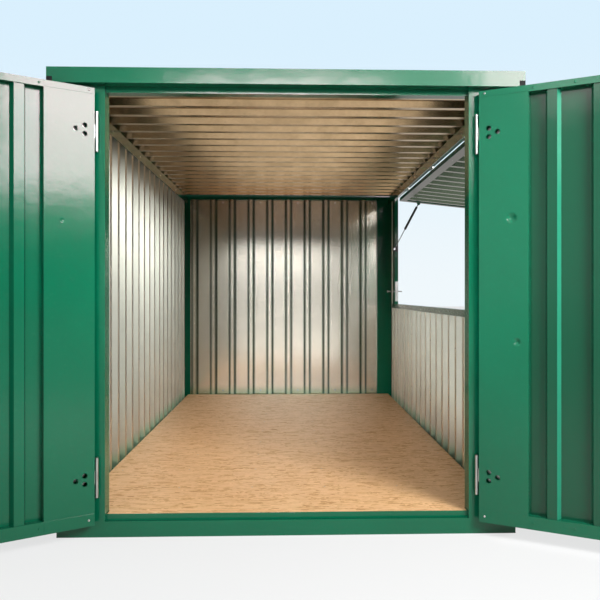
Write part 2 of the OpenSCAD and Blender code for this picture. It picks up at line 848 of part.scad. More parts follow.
// Knuckle of the length l from y0, with its leaf, for a hinge whose barrel is at the origin
module flap_knuckle(y0, l, plate_h) {
    translate([0, y0 + l, 0]) rotate([90, 0, 0]) {
        cylinder(d = flap_knuckle_d, h = l);
        linear_extrude(l) flap_leaf_outline(plate_h);
    }
}

// Head side of the flap's hinges: the two outer knuckles of each
module head_hinge_leaves() {
    color("silver") for (k = flap_ties, side = [-1, 1])
        translate([flap_x, k * hatch_l / 2, flap_z]) difference() {
            flap_knuckle(side > 0 ? flap_knuckle_l / 2 + knuckle_gap
                                  : -1.5 * flap_knuckle_l - knuckle_gap,
                         flap_knuckle_l, head_plate_h);
            rotate([90, 0, 0]) cylinder(r = flap_pin_d / 2 + pin_clear,
                                        h = 4 * flap_knuckle_l, center = true);
        }
}

// Flap side of the flap's hinges: the middle knuckle and the pin
module hatch_flap_hinges() {
    color("silver") at_flap() for (k = flap_ties)
        translate([flap_x, k * hatch_l / 2, flap_z]) {
            mirror([0, 0, 1]) flap_knuckle(-flap_knuckle_l / 2, flap_knuckle_l, head_plate_h);
            rotate([90, 0, 0]) cylinder(d = flap_pin_d, h = 3 * flap_knuckle_l + 2 * knuckle_gap,
                                        center = true);
        }
}

// Slide bolts through the hatch, on plates at the jambs' sides that face the opening
module hatch_slide_bolts() {
    color("silver") for (side = [0, 1]) mirror([0, side, 0])
        translate([wall_out, hatch_l / 2, slide_z]) {
            translate([-slide_plate_w - 1, -plate_t, -slide_plate_h / 2])
                cube([slide_plate_w, plate_t, slide_plate_h]);
            translate([-rib_depth + 3, -plate_t - slide_d, -slide_d])
                cube([rib_depth - 6, slide_d + 1, 2 * slide_d]);
            translate([rib_depth, -plate_t - slide_d, 0]) rotate([0, -90, 0])
                cylinder(d = slide_d, h = slide_l);
            translate([rib_depth - slide_l, -plate_t - slide_d, 0]) rotate([0, -90, 0])
                cylinder(d = 2 * slide_d, h = slide_d);
        }
}

// ---- Gas struts ---------------------------------------------------------------------------

// Flap's pivot seen from the jamb's pivot with the flap open by angle a
function pivot_out(a) = -pivot_in * cos(a) + flap_pivot_down * sin(a) + pivot_in;
function pivot_up(a) = -flap_pivot_down * cos(a) - pivot_in * sin(a) + jamb_pivot_down;
function pivot_reach(a) = norm([pivot_out(a), pivot_up(a)]);

// A strut stands with its lower pivot at the jamb's stud and points at the flap's stud
module at_strut(side) {
    translate([pivot_x, side * strut_y, jamb_pivot_z]) rotate([0, strut_lean, 0]) children();
}

module strut_eye() {
    rotate([90, 0, 0]) cylinder(d = eye_d, h = eye_t, center = true);
}

// The tube turns on the flap's stud and hangs over the rod
module strut_tube() {
    color("black") translate([0, 0, strut_reach]) mirror([0, 0, 1]) difference() {
        union() {
            strut_eye();
            translate([-rod_d / 2, -rod_d / 2, 0]) cube([rod_d, rod_d, tube_start + 1]);
            translate([0, 0, tube_start]) cylinder(d = tube_d, h = tube_l);
        }
        translate([0, 0, tube_start + 10]) cylinder(d = rod_d + 2 * joint_gap, h = tube_l);
    }
}

// The rod turns on the jamb's stud
module strut_rod() {
    color("silver") {
        strut_eye();
        cylinder(d = rod_d, h = strut_reach - tube_start - tube_l + rod_bury);
    }
}

module front_strut_tube() {
    at_strut(-1) strut_tube();
}

module front_strut_rod() {
    at_strut(-1) strut_rod();
}

module back_strut_tube() {
    at_strut(1) strut_tube();
}

module back_strut_rod() {
    at_strut(1) strut_rod();
}

// Brackets on the jambs that the struts' lower eyes turn on
module strut_brackets() {
    color("silver") for (side = [0, 1]) mirror([0, side, 0])
        translate([pivot_x, hatch_l / 2, jamb_pivot_z]) rotate([90, 0, 0])
            strut_bracket(hatch_l / 2 - strut_y - eye_t / 2 - joint_gap);
}

// ---- Nodes --------------------------------------------------------------------------------

front_base_rail();
back_base_rail();
left_base_rail();
right_base_rail();
floor_bearers();
floor_boards();
door_sill();
front_left_post();
front_right_post();
back_left_post();
back_right_post();
left_wall();
back_wall();
right_wall_front();
right_wall_back();
right_wall_below_hatch();
hatch_front_jamb();
hatch_back_jamb();
hatch_counter_rail();
hatch_head_rail();
door_head();
front_fascia();
back_fascia();
left_fascia();
right_fascia();
roof_end_plugs();
side_roof_ledges();
end_roof_ledges();
roof_sheets();
post_hinge_knuckles();
left_door_hinge_side();
left_door_rails();
left_door_closing_stile();
left_door_panel();
left_door_knuckles();
left_door_bolts();
right_door_hinge_side();
right_door_rails();
right_door_closing_stile();
right_door_panel();
right_door_knuckles();
right_door_lock();
hatch_flap_panel();
hatch_flap_side_rails();
hatch_flap_long_rails();
hatch_flap_hinges();
head_hinge_leaves();
hatch_slide_bolts();
front_strut_tube();
front_strut_rod();
back_strut_tube();
back_strut_rod();
strut_brackets();
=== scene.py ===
"""Dresses the flat pack kiosk: finishes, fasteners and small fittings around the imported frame.

Everything is in metres, with the doors towards -Y, the serving hatch towards +X and the ground
at z = 0. The faces that fasteners sit on, and the places of leaves, flap and struts, come from
the frame's nodes and joints. The spacing of the fasteners is named in the classes below.
"""

import json
import logging
import math
from dataclasses import dataclass, field, replace
from enum import Enum
from functools import cached_property
from typing import Iterable, Sequence

import bmesh
import bpy
from mathutils import Matrix, Vector


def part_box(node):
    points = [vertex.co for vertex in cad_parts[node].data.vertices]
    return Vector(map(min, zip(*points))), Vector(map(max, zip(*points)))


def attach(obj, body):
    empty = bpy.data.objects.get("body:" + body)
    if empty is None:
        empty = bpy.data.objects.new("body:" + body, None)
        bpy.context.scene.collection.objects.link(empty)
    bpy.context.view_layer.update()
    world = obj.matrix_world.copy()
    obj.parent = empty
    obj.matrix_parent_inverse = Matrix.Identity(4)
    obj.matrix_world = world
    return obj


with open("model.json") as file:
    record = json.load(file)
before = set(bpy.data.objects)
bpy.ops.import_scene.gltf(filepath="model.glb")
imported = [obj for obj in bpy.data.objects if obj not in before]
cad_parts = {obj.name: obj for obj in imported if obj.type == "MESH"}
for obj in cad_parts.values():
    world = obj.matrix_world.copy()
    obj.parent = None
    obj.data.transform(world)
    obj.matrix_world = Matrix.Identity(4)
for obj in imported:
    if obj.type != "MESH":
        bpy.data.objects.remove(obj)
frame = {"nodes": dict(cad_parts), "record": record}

LOG = logging.getLogger("kiosk")
RIB_PITCH = 0.19
RIB_EDGE = 0.026
SHEET_COVER = 4 * RIB_PITCH
RING_SIDES = 28
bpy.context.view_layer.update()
Colour = tuple[float, float, float]
Point = tuple[float, float, float]
Pair = tuple[float, float]
Series = tuple[float, float, int]
Row = tuple[float, ...]
Rows = float | Sequence[float]
Spot = tuple[Vector, Vector]
Inputs = dict[str | int, object]
Material = bpy.types.Material
Node = bpy.types.Node
NodeTree = bpy.types.NodeTree
Outputs = bpy.types.NodeOutputs
Shape = bmesh.types.BMesh
Socket = bpy.types.NodeSocket
Surface = dict[str, object]


class Body(Enum):
    """The bodies that added pieces ride on."""

    SHELL = "shell"
    LEFT_DOOR = "left_door"
    RIGHT_DOOR = "right_door"
    FLAP = "hatch_flap"
    FRONT_TUBE = "front_tube"
    BACK_TUBE = "back_tube"


class Slot(Enum):
    """The record's material slots, named beside the added pieces; nothing reads them."""

    FITTING = "zinc_fitting"
    PAINT = "green_paint"
    PLASTIC = "black_plastic"
    TUBE = "strut_tube"


def add_object(name: str, data: bpy.types.ID) -> bpy.types.Object:
    """Adds an object to the scene.

    Args:
        name: The object's name.
        data: Its mesh, camera or light.

    Returns:
        The new object.
    """
    made = bpy.data.objects.new(name, data)
    bpy.context.scene.collection.objects.link(made)
    return made


# ---- Shader helpers ----


class MixKind(Enum):
    """What a Mix node mixes: its data type, its first value's input and its output."""

    NUMBER = ("FLOAT", 2, 0)
    NORMAL = ("VECTOR", 4, 1)
    COLOUR = ("RGBA", 6, 2)


@dataclass(frozen=True)
class Grain:
    """A layer of unevenness: its pattern's scale and detail, its depth in metres, its share."""

    scale: float
    detail: float
    depth: float
    strength: float


@dataclass
class Nodes:
    """Short hands for wiring one node tree."""

    tree: NodeTree

    def add(self, kind: str, inputs: Inputs | None = None, **settings: object) -> Node:
        """Adds a node.

        Args:
            kind: The node's type name.
            inputs: Sockets or plain values for its inputs, by name or number.
            settings: Properties to set on it before its inputs are filled.

        Returns:
            The new node.
        """
        node = self.tree.nodes.new(kind)
        for name, value in settings.items():
            setattr(node, name, value)
        self.fill(node, inputs or {})
        return node

    def fill(self, node: Node, inputs: Inputs) -> None:
        """Links sockets to a node's inputs, or writes plain values on them.

        Args:
            node: The node to fill.
            inputs: Sockets or plain values, by the input's name or number.
        """
        for key, value in inputs.items():
            target = node.inputs[key]
            if isinstance(value, Socket):
                self.tree.links.new(value, target)
            elif target.type == "RGBA":
                target.default_value = (*value, 1.0)
            else:
                target.default_value = value

    def math(self, operation: str, a: object, b: object = 0.0) -> Socket:
        """Adds a Math node and returns its result."""
        return self.add("ShaderNodeMath", {0: a, 1: b}, operation=operation).outputs[0]

    def vector(self, operation: str, a: object, b: object, result: str = "Vector") -> Socket:
        """Adds a Vector Math node and returns one of its results."""
        inputs = {0: a, "Scale" if operation == "SCALE" else 1: b}
        return self.add("ShaderNodeVectorMath", inputs, operation=operation).outputs[result]

    def spread(self, value: Socket, low: float, high: float, out_low: float = 0.0,
               out_high: float = 1.0) -> Socket:
        """Maps a value smoothly, low to out_low and high to out_high."""
        inputs = {"Value": value, "From Min": low, "From Max": high, "To Min": out_low,
                  "To Max": out_high}
        return self.add("ShaderNodeMapRange", inputs,
                        interpolation_type="SMOOTHSTEP").outputs["Result"]

    def noise(self, vector: Socket, scale: float, detail: float = 4.0,
              roughness: float = 0.55) -> Socket:
        """Adds a noise texture and returns its value."""
        inputs = {"Vector": vector, "Scale": scale, "Detail": detail, "Roughness": roughness}
        return self.add("ShaderNodeTexNoise", inputs).outputs["Fac"]

    def stretch(self, vector: Socket, scale: Point, turn: float = 0.0) -> Socket:
        """Scales a pattern's coordinates and turns them round Z."""
        inputs = {"Vector": vector, "Scale": scale, "Rotation": (0.0, 0.0, turn)}
        return self.add("ShaderNodeMapping", inputs).outputs["Vector"]

    def mix(self, factor: Socket, a: object, b: object,
            kind: MixKind = MixKind.COLOUR) -> Socket:
        """Mixes a share of the second value into the first."""
        data_type, first, result = kind.value
        return self.add("ShaderNodeMix", {0: factor, first: a, first + 1: b},
                        data_type=data_type).outputs[result]

    def relief(self, *layers: tuple[Socket, float, float]) -> Socket:
        """Stacks layers of unevenness.

        Args:
            layers: The height, depth in metres and strength of each layer.

        Returns:
            The normal over all of them.
        """
        under: Surface = {}
        for height, depth, strength in layers:
            bump = self.add("ShaderNodeBump", {"Height": height, "Distance": depth,
                                               "Strength": strength, **under})
            under = {"Normal": bump.outputs["Normal"]}
        return under["Normal"]


class Group(Nodes):
    """A shader group that reads coordinates and gives out plain values."""

    def __init__(self, name: str, **inputs: object) -> None:
        """Starts the group.

        Args:
            name: Its name.
            inputs: Default of each input that it has beside the coordinates.
        """
        super().__init__(bpy.data.node_groups.new(name, "ShaderNodeTree"))
        for title, default in {"Vector": (0.0, 0.0, 0.0), **inputs}.items():
            kind = "NodeSocketFloat" if isinstance(default, float) else "NodeSocketVector"
            socket = self.tree.interface.new_socket(title, in_out="INPUT", socket_type=kind)
            socket.default_value = default
        self.start = self.add("NodeGroupInput").outputs
        self.place = self.start["Vector"]

    def give(self, **outputs: Socket) -> NodeTree:
        """Ends the group.

        Args:
            outputs: The values that it gives out.

        Returns:
            The group's tree.
        """
        for title in outputs:
            self.tree.interface.new_socket(title, in_out="OUTPUT",
                                           socket_type="NodeSocketFloat")
        self.add("NodeGroupOutput", outputs)
        return self.tree


class Effects:
    """Shader groups that several finishes share, each built when it is first used."""

    @cached_property
    def weather(self) -> NodeTree:
        """Soft unevenness: broad tone drift, fine dust and faint handling marks."""
        group = Group("weather", Size=1.0)
        place = group.vector("SCALE", group.place, group.start["Size"])
        streak = group.stretch(place, (30.0, 30.0, 1.2))
        return group.give(
            Drift=group.spread(group.noise(place, 1.3, detail=3.0), 0.3, 0.7),
            Dust=group.spread(group.noise(place, 38.0, 6.0, roughness=0.65), 0.52, 0.78),
            Marks=group.spread(group.noise(streak, 1.0, roughness=0.6), 0.35, 0.75))

    @cached_property
    def spangle(self) -> NodeTree:
        """The crystal pattern of hot-dip zinc under a soft cloudy bloom."""
        group = Group("spangle", Scale=60.0)
        cells = group.add("ShaderNodeTexVoronoi", {"Vector": group.place,
                                                   "Scale": group.start["Scale"]})
        crystal = group.add("ShaderNodeSeparateColor", {0: cells.outputs["Color"]}).outputs[0]
        cloud = group.spread(group.noise(group.place, 7.0), 0.3, 0.7)
        return group.give(Tone=group.math("ADD", group.math("MULTIPLY", crystal, 0.35),
                                          group.math("MULTIPLY", cloud, 0.65)))

    @cached_property
    def rolled(self) -> NodeTree:
        """The long soft waves that rolling leaves along a ribbed sheet."""
        group = Group("rolled", Along=(1.0, 1.0, 1.0))
        place = group.vector("MULTIPLY", group.place, group.start["Along"])
        return group.give(Wave=group.noise(place, 11.0, 2.0, 0.5),
                          Brush=group.noise(place, 240.0, 3.0, 0.6))

    @cached_property
    def strands(self) -> NodeTree:
        """Pressed wood strands that lie mostly one way, in three crossing layers."""
        group = Group("strands")
        warp = group.add("ShaderNodeTexNoise", {"Vector": group.place, "Scale": 6.0})
        bent = group.vector("ADD", group.place,
                            group.vector("SCALE", warp.outputs["Color"], 0.05))
        layers = []
        for turn, wide in ((0.1, 75.0), (0.7, 95.0), (-0.55, 85.0)):
            laid = group.stretch(bent, (13.0, wide, 20.0), turn)
            cells = group.add("ShaderNodeTexVoronoi", {"Vector": laid, "Scale": 1.0}).outputs
            tone = group.add("ShaderNodeSeparateColor", {0: cells["Color"]}).outputs[0]
            layers.append((tone, cells["Distance"]))
        pick = group.noise(group.stretch(group.place, (0.8, 1.4, 1.0)), 26.0, 2.0)
        second = group.math("GREATER_THAN", pick, 0.54)
        third = group.math("LESS_THAN", pick, 0.43)
        tone, edge = (group.mix(third, group.mix(second, a, b), c) for a, b, c in zip(*layers))
        fibre = group.stretch(bent, (14.0, 380.0, 60.0))
        return group.give(Tone=tone, Edge=group.spread(edge, 0.3, 0.8),
                          Grain=group.noise(fibre, 1.0, 3.0))


class Canvas(Nodes):
    """One material's tree, with the coordinates and the shared groups that a finish reads."""

    def __init__(self, tree: NodeTree, effects: Effects) -> None:
        """Adds the coordinates.

        Args:
            tree: The material's node tree.
            effects: The shared shader groups.
        """
        super().__init__(tree)
        self.effects = effects
        coordinates = self.add("ShaderNodeTexCoord").outputs
        self.place, self.normal = coordinates["Object"], coordinates["Normal"]

    def facing(self, way: Point) -> Socket:
        """Gives 1 where a face looks straight that way, and less as it turns from it."""
        return self.vector("DOT_PRODUCT", self.normal, way, "Value")

    def layer(self, grain: Grain) -> tuple[Socket, float, float]:
        """Gives one layer of unevenness: its height, depth and strength."""
        return self.noise(self.place, grain.scale, grain.detail), grain.depth, grain.strength

    def use(self, tree: NodeTree, **values: object) -> Outputs:
        """Places a shared group, writes its values and returns its outputs."""
        inputs = {"Vector": self.place, **values}
        return self.add("ShaderNodeGroup", inputs, node_tree=tree).outputs


# ---- Finishes ----


class Finish:
    """A finish that makes one material from a few named values."""

    name: str = "finish"

    def surface(self, on: Canvas) -> Surface:
        """Wires the finish.

        Args:
            on: The material.

        Returns:
            Sockets and values for the surface shader's inputs, by name.
        """
        raise NotImplementedError

    def make(self, effects: Effects) -> Material:
        """Makes the material.

        Args:
            effects: The shared shader groups.

        Returns:
            The new material.
        """
        material = bpy.data.materials.new(self.name)
        material.use_nodes = True
        material.node_tree.nodes.clear()
        on = Canvas(material.node_tree, effects)
        shader = on.add("ShaderNodeBsdfPrincipled", self.surface(on))
        on.add("ShaderNodeOutputMaterial", {0: shader.outputs[0]})
        return material


@dataclass(frozen=True)
class GreenCoat(Finish):
    """Semi-gloss green powder coat on folded steel. A dent is a place and its reach."""

    name: str = "green_coat"
    colour: Colour = (0.0014, 0.110, 0.054)
    deep: Colour = (0.0011, 0.096, 0.046)
    dust: Colour = (0.16, 0.36, 0.26)
    dust_share: float = 0.02
    mark_share: float = 0.015
    roughness: float = 0.15
    specular: float = 0.30
    specular_tint: Colour = (1.0, 0.72, 0.80)
    wave: Grain = Grain(2.6, 2.0, 0.004, 0.35)
    ripple: Grain = Grain(13.0, 3.0, 0.0014, 0.5)
    peel: Grain = Grain(420.0, 2.0, 0.00002, 0.4)
    dents: tuple[tuple[Point, float], ...] = ()
    dent_depth: float = 0.3

    def _dent(self, on: Canvas, centre: Point, reach: float) -> tuple[Socket, float, float]:
        """Gives one dent: its height, depth and strength."""
        bowl = on.spread(on.vector("DISTANCE", on.place, centre, "Value"), 0.0, reach)
        return on.math("SMOOTH_MIN", bowl, 1.0), reach * self.dent_depth, 1.0

    def surface(self, on: Canvas) -> Surface:
        """Wires the coat: drift, dust and marks over its colour, and its unevenness.

        Args:
            on: The material.

        Returns:
            The surface shader's inputs.
        """
        weather = on.use(on.effects.weather, Size=1.0)
        tone = on.mix(weather["Drift"], self.colour, self.deep)
        dusty = on.math("MULTIPLY", weather["Dust"], self.dust_share)
        marked = on.math("MULTIPLY", weather["Marks"], self.mark_share)
        dents = [self._dent(on, *dent) for dent in self.dents]
        return {"Base Color": on.mix(dusty, tone, self.dust),
                "Roughness": on.math("ADD", marked, on.math("ADD", dusty, self.roughness)),
                "Specular IOR Level": self.specular, "Specular Tint": self.specular_tint,
                "Normal": on.relief(on.layer(self.wave), on.layer(self.ripple), *dents,
                                    on.layer(self.peel))}


@dataclass(frozen=True)
class TwoTone(GreenCoat):
    """The green coat, with painted shade on inward faces and a painted highlight on its flanks.
    """

    name: str = "painted_shade_highlight_coat"
    inward: Point = (0.0, -1.0, 0.0)
    # Colour of the painted shade on the faces that look inward.
    inner: Colour = (0.0016, 0.062, 0.030)
    # The way that the flanks with the painted highlight look, and the highlight's colour.
    flank: Point = (0.866, -0.5, 0.0)
    pale: Colour = (0.022, 0.215, 0.128)

    def surface(self, on: Canvas) -> Surface:
        """Wires the coat with its painted shade and painted highlight.

        Args:
            on: The material.

        Returns:
            The surface shader's inputs.
        """
        look = super().surface(on)
        # Painted highlight on the flanks, then painted shade on the inward faces.
        painted_highlight_share = on.spread(on.facing(self.flank), 0.4, 0.7)
        inner = on.spread(on.facing(self.inward), 0.75, 0.95)
        look["Base Color"] = on.mix(inner, on.mix(painted_highlight_share, look["Base Color"], self.pale),
                                    self.inner)
        return look


@dataclass(frozen=True)
class Zinc(Finish):
    """Hot-dip galvanised sheet with a soft spangle and long rolled waves."""

    name: str = "zinc"
    light: Colour = (0.90, 0.85, 0.75)
    dark: Colour = (0.81, 0.76, 0.66)
    roughness: float = 0.15
    brushed: float = 0.06
    metallic: float = 0.92
    scale: float = 75.0
    along: Point = (1.0, 1.0, 0.06)
    wave: float = 0.0004

    def surface(self, on: Canvas) -> Surface:
        """Wires the spangle, the brushed roughness and the waves.

        Args:
            on: The material.

        Returns:
            The surface shader's inputs.
        """
        spangle = on.use(on.effects.spangle, Scale=self.scale)
        rolled = on.use(on.effects.rolled, Along=self.along)
        brush = on.math("MULTIPLY", rolled["Brush"], self.brushed)
        return {"Base Color": on.mix(spangle["Tone"], self.dark, self.light),
                "Roughness": on.math("ADD", self.roughness, brush),
                "Metallic": self.metallic,
                "Normal": on.relief((rolled["Wave"], self.wave, 0.5))}


@dataclass(frozen=True)
class SheetFinish(Finish):
    """Ribbed sheet: bare zinc on its inner side and green coat on its outer side.

    The zinc gets painted shade, tinted dark green, on the ribs' flanks and along their edges, and
    a painted green reflection of the base near the floor.
    """

    name: str = "ribbed_sheet"
    inward: Point = (1.0, 0.0, 0.0)
    zinc: Zinc = Zinc()
    # Share of painted shade on the ribs' flanks.
    fold: float = 0.35
    # Share of painted shade along the ribs' edges.
    crease: float = 0.12
    across: str = "Y"
    # Share of painted green reflection near the floor; it fades out between the two heights
    # below.
    foot: float = 0.6
    foot_top: float = 0.20
    foot_full: float = 0.10
    # Colours of the painted shade on flanks and edges, and of the painted green reflection.
    fold_tint: Colour = (0.06, 0.13, 0.085)
    crease_tint: Colour = (0.07, 0.13, 0.09)
    foot_tint: Colour = (0.16, 0.40, 0.26)
    coat: GreenCoat = GreenCoat()

    def surface(self, on: Canvas) -> Surface:
        """Wires both sides and picks one by the way that the face looks.

        Args:
            on: The material.

        Returns:
            The surface shader's inputs.
        """
        facing = on.facing(self.inward)
        inner = on.math("GREATER_THAN", facing, 0.02)
        coat, zinc = self.coat.surface(on), self.zinc.surface(on)
        split = on.add("ShaderNodeSeparateXYZ", {0: on.place}).outputs
        turn = on.math("PINGPONG", split[self.across], RIB_PITCH / 2.0)
        edge = on.math("ABSOLUTE", on.math("SUBTRACT", turn, RIB_EDGE))
        metal = zinc["Base Color"]
        # Painted shade on the flanks and along the rib edges, then a painted green reflection
        # near the floor.
        for share, tint in (
                (on.spread(facing, 0.97, 0.7, 0.0, self.fold), self.fold_tint),
                (on.spread(edge, 0.003, 0.024, self.crease, 0.0), self.crease_tint),
                (on.spread(split["Z"], self.foot_top, self.foot_full, 0.0, self.foot),
                 self.foot_tint)):
            metal = on.mix(share, metal, tint)
        return {"Base Color": on.mix(inner, coat["Base Color"], metal),
                "Roughness": on.mix(inner, coat["Roughness"], zinc["Roughness"],
                                    MixKind.NUMBER),
                "Metallic": on.math("MULTIPLY", inner, self.zinc.metallic),
                "Normal": on.mix(inner, coat["Normal"], zinc["Normal"], MixKind.NORMAL)}


@dataclass(frozen=True)
class StrandBoard(Finish):
    """Sanded strand board."""

    name: str = "strand_board"
    pale: Colour = (0.84, 0.53, 0.275)
    mid: Colour = (0.70, 0.41, 0.195)
    dark: Colour = (0.50, 0.26, 0.11)
    dark_stop: float = 0.04
    mid_stop: float = 0.2
    specular: float = 0.22
    specular_tint: Colour = (1.0, 0.84, 0.66)

    def surface(self, on: Canvas) -> Surface:
        """Wires the strands' tones, edges and grain.

        Args:
            on: The material.

        Returns:
            The surface shader's inputs.
        """
        strands = on.use(on.effects.strands)
        ramp = on.add("ShaderNodeValToRGB", {0: strands["Tone"]})
        stops = ramp.color_ramp.elements
        stops[0].color = (*self.dark, 1.0)
        stops[1].color = (*self.pale, 1.0)
        stops[0].position = self.dark_stop
        stops.new(self.mid_stop).color = (*self.mid, 1.0)
        shade = on.math("MULTIPLY", strands["Edge"], 0.2)
        grain = on.spread(strands["Grain"], 0.35, 0.7, 0.0, 0.2)
        colour = on.mix(shade, ramp.outputs[0], self.dark)
        return {"Base Color": on.mix(grain, colour, self.mid),
                "Roughness": on.spread(strands["Tone"], 0.0, 0.3, 0.8, 0.45),
                "Specular IOR Level": self.specular, "Specular Tint": self.specular_tint,
                "Normal": on.relief((strands["Edge"], -0.00012, 0.5),
                                    (strands["Grain"], 0.0002, 0.5))}


@dataclass(frozen=True)
class PlainMetal(Finish):
    """A small metal or plastic part with fine wear."""

    name: str = "zinc_plate"
    colour: Colour = (0.42, 0.42, 0.41)
    worn: Colour = (0.32, 0.32, 0.31)
    metallic: float = 1.0
    roughness: float = 0.34
    specular: float = 0.5
    grain: Grain = Grain(900.0, 2.0, 0.00005, 0.5)

    def surface(self, on: Canvas) -> Surface:
        """Wires the tone drift, the roughness and a fine grain.

        Args:
            on: The material.

        Returns:
            The surface shader's inputs.
        """
        weather = on.use(on.effects.weather, Size=7.0)
        dusty = on.math("MULTIPLY", weather["Dust"], 0.18)
        return {"Base Color": on.mix(weather["Drift"], self.colour, self.worn),
                "Roughness": on.math("ADD", self.roughness, dusty),
                "Metallic": self.metallic, "Specular IOR Level": self.specular,
                "Normal": on.relief(on.layer(self.grain))}


# ---- Studio ----


@dataclass(frozen=True)
class Lamp:
    """A soft rectangular light: place, aim, width and height, power in watts, opening angle."""

    name: str
    place: Point
    aim: Point
    size: Pair
    power: float
    spread: float = 180.0

    def hang(self) -> None:
        """Adds the light to the scene."""
        data = bpy.data.lights.new(self.name, "AREA")
        data.shape = "RECTANGLE"
        data.size, data.size_y = self.size
        data.energy = self.power
        data.spread = math.radians(self.spread)
        way = Vector(self.aim) - Vector(self.place)
        lamp = add_object(self.name, data)
        lamp.location = self.place
        lamp.rotation_euler = way.to_track_quat("-Z", "Y").to_euler()


LAMPS = (
    Lamp("key", (2.4, -4.8, 2.9), (-0.9, -1.6, 1.1), (1.7, 1.55), 245.0),
    Lamp("fill", (3.3, -5.4, 4.8), (-0.6, -1.6, 0.8), (2.4, 1.6), 60.0),
    Lamp("strip", (0.45, -3.6, 2.56), (0.2, -2.0, 2.05), (1.4, 0.34), 6.6),
    Lamp("front", (-0.1, -5.6, 2.6), (0.0, 0.9, 0.3), (2.0, 1.0), 10.0, 30.0),
    Lamp("hatch", (5.2, 0.9, 3.5), (-0.8, 0.7, 0.5), (2.4, 1.2), 165.0),
)


@dataclass
class Studio:
    """A plain pale floor, a soft sky, soft lights and the camera.

    The camera sees a pale floor and sky. The object takes its light and its mirror images from
    a dimmer floor and sky behind it, and from a bright and a dark side of the room in front.
    """

    eye: Point = (0.0016, -5.2195, 1.1074)
    lens: float = 42.312
    turn_right: float = math.radians(1.82)
    shift: Pair = (-0.0185, -0.009)
    half_floor: float = 60.0
    floor: Colour = (0.55, 0.54, 0.52)
    floor_seen: Colour = (0.18, 0.18, 0.18)
    floor_mirrored: Colour = (0.50, 0.49, 0.46)
    floor_glow: Colour = (0.68, 0.68, 0.68)
    horizon: Colour = (0.871, 0.939, 0.973)
    zenith: Colour = (0.70, 0.871, 0.991)
    dim_sky: Colour = (0.45, 0.50, 0.54)
    bright_side: Colour = (1.25, 1.28, 1.30)
    dark_side: Colour = (0.05, 0.052, 0.055)

    def camera(self) -> None:
        """Adds the camera, level and turned a little to the right."""
        data = bpy.data.cameras.new("camera")
        data.sensor_width = 36.0
        data.lens = self.lens
        data.shift_x, data.shift_y = self.shift
        data.clip_end = 200.0
        camera = add_object("camera", data)
        camera.location = self.eye
        camera.rotation_euler = (math.radians(90.0), 0.0, -self.turn_right)
        bpy.context.scene.camera = camera

    def ground(self) -> None:
        """Adds the floor."""
        mesh = bpy.data.meshes.new("studio_floor")
        half = self.half_floor
        mesh.from_pydata([(-half, -half, 0.0), (half, -half, 0.0), (half, half, 0.0),
                          (-half, half, 0.0)], [], [(0, 1, 2, 3)])
        material = bpy.data.materials.new("studio_floor")
        material.use_nodes = True
        wires = Nodes(material.node_tree)
        ray = wires.add("ShaderNodeLightPath").outputs
        mirrored = wires.mix(ray["Is Glossy Ray"], (0.0, 0.0, 0.0), self.floor_mirrored)
        wires.fill(material.node_tree.nodes["Principled BSDF"], {
            "Roughness": 0.8, "Specular IOR Level": 0.0, "Emission Strength": 1.0,
            "Base Color": wires.mix(ray["Is Camera Ray"], self.floor, self.floor_seen),
            "Emission Color": wires.mix(ray["Is Camera Ray"], mirrored, self.floor_glow)})
        mesh.materials.append(material)
        add_object("studio_floor", mesh)

    def sky(self) -> None:
        """Sets the sky behind the object and the two sides of the room in front of it."""
        world = bpy.data.worlds.new("studio_sky")
        bpy.context.scene.world = world
        world.use_nodes = True
        wires = Nodes(world.node_tree)
        way = wires.add("ShaderNodeTexCoord").outputs["Generated"]
        split = wires.add("ShaderNodeSeparateXYZ", {0: way}).outputs
        seen = wires.add("ShaderNodeLightPath").outputs["Is Camera Ray"]
        high = wires.spread(split["Z"], -0.02, 0.36)
        sky = wires.mix(seen, self.dim_sky, wires.mix(high, self.horizon, self.zenith))
        side = wires.spread(split["X"], -0.35, 0.05)
        room = wires.mix(side, self.bright_side, self.dark_side)
        behind = wires.spread(split["Y"], -0.15, 0.12)
        wires.fill(world.node_tree.nodes["Background"],
                   {"Color": wires.mix(behind, room, sky), "Strength": 1.0})

    def build(self) -> None:
        """Sets up the whole studio."""
        self.camera()
        self.ground()
        self.sky()
        bpy.context.scene.view_settings.view_transform = "Standard"
        for lamp in LAMPS:
            lamp.hang()


# ---- Places ----

JOINTS = {row["name"]: row for row in frame["record"]["behaviour"]["joints"]}
ALONG_X, ALONG_Y, UP = (1.0, 0.0, 0.0), (0.0, 1.0, 0.0), (0.0, 0.0, 1.0)
AGAINST_X, AGAINST_Y, DOWN = (-1.0, 0.0, 0.0), (0.0, -1.0, 0.0), (0.0, 0.0, -1.0)


def row_of(first: float, step: float, count: int) -> list[float]:
    """Gives evenly spaced numbers."""
    return [first + step * index for index in range(count)]


def spots_at(places: Iterable[Point], aim: Point) -> list[Spot]:
    """Pairs each place with the way that its head looks."""
    return [(Vector(place), Vector(aim)) for place in places]


def grid(xs: Rows, ys: Rows, zs: Rows, aim: Point) -> list[Spot]:
    """Places fasteners at every crossing of rows, each one number or several."""
    xs, ys, zs = (rows if isinstance(rows, (list, tuple)) else (rows,) for rows in (xs, ys, zs))
    return spots_at([(x, y, z) for y in ys for x in xs for z in zs], aim)


def opened(joint: str, closed_at: float) -> Matrix:
    """Gives the move from a closed leaf or flap to where it stands.

    Args:
        joint: The hinge's name.
        closed_at: The hinge's angle in degrees when it is closed.

    Returns:
        The move's matrix.
    """
    row = JOINTS[joint]
    pivot = Vector(row["pos_m"])
    turn = Matrix.Rotation(math.radians(-closed_at), 4, Vector(row["axis"]))
    return Matrix.Translation(pivot) @ turn @ Matrix.Translation(-pivot)


